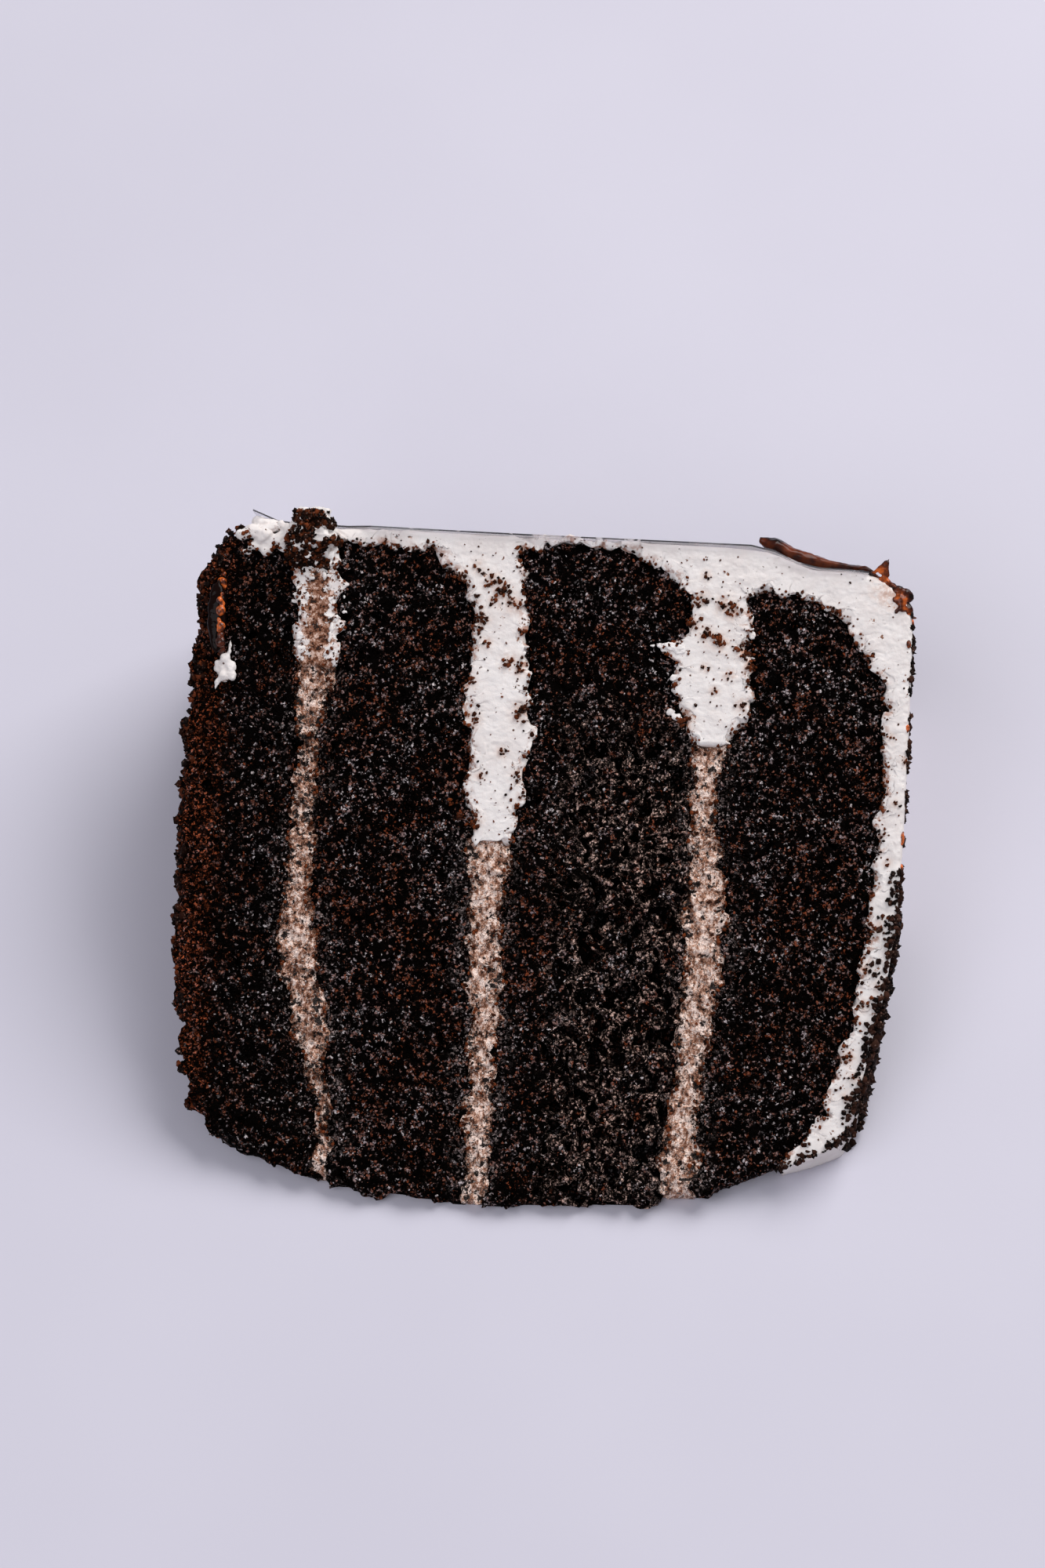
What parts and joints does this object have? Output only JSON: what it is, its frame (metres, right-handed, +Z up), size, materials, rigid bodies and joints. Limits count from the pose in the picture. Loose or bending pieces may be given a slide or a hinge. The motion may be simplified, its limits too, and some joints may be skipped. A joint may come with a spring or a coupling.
{
  "type": "slice of chocolate layer cake",
  "caption": "Wedge of chocolate layer cake lying on its cut side, with dark sponges, thin fillings, a white cream coat, biscuit crumbs, glaze drips and a clear rim film.",
  "frame": {"origin": "middle of the slice's bounding box at the lowest level, on the surface that it lies on", "axes": "+X from the cake's base to its top, +Y from the thin tip of the wedge to the rim, +Z up, square to the lower cut side"},
  "size_m": [0.116, 0.107, 0.0545],
  "materials": {
    "sponge": "open, moist, almost black chocolate crumb",
    "filling": "beige cream smeared with chocolate crumb",
    "cream": "soft white whipped cream",
    "crumbs": "dry dark biscuit crumbs",
    "glaze": "glossy red-brown chocolate glaze",
    "film": "clear thin plastic film"
  },
  "bodies": {
    "root": {"sponge_1": "sponge", "sponge_2": "sponge", "sponge_3": "sponge", "sponge_4": "sponge", "filling_1": "filling", "filling_2": "filling", "filling_3": "filling", "cream": "cream", "cream_smear": "cream", "crumb_topping": "crumbs", "glaze": "glaze", "glaze_smear": "glaze", "collar_film": "film"}
  },
  "joints": []
}
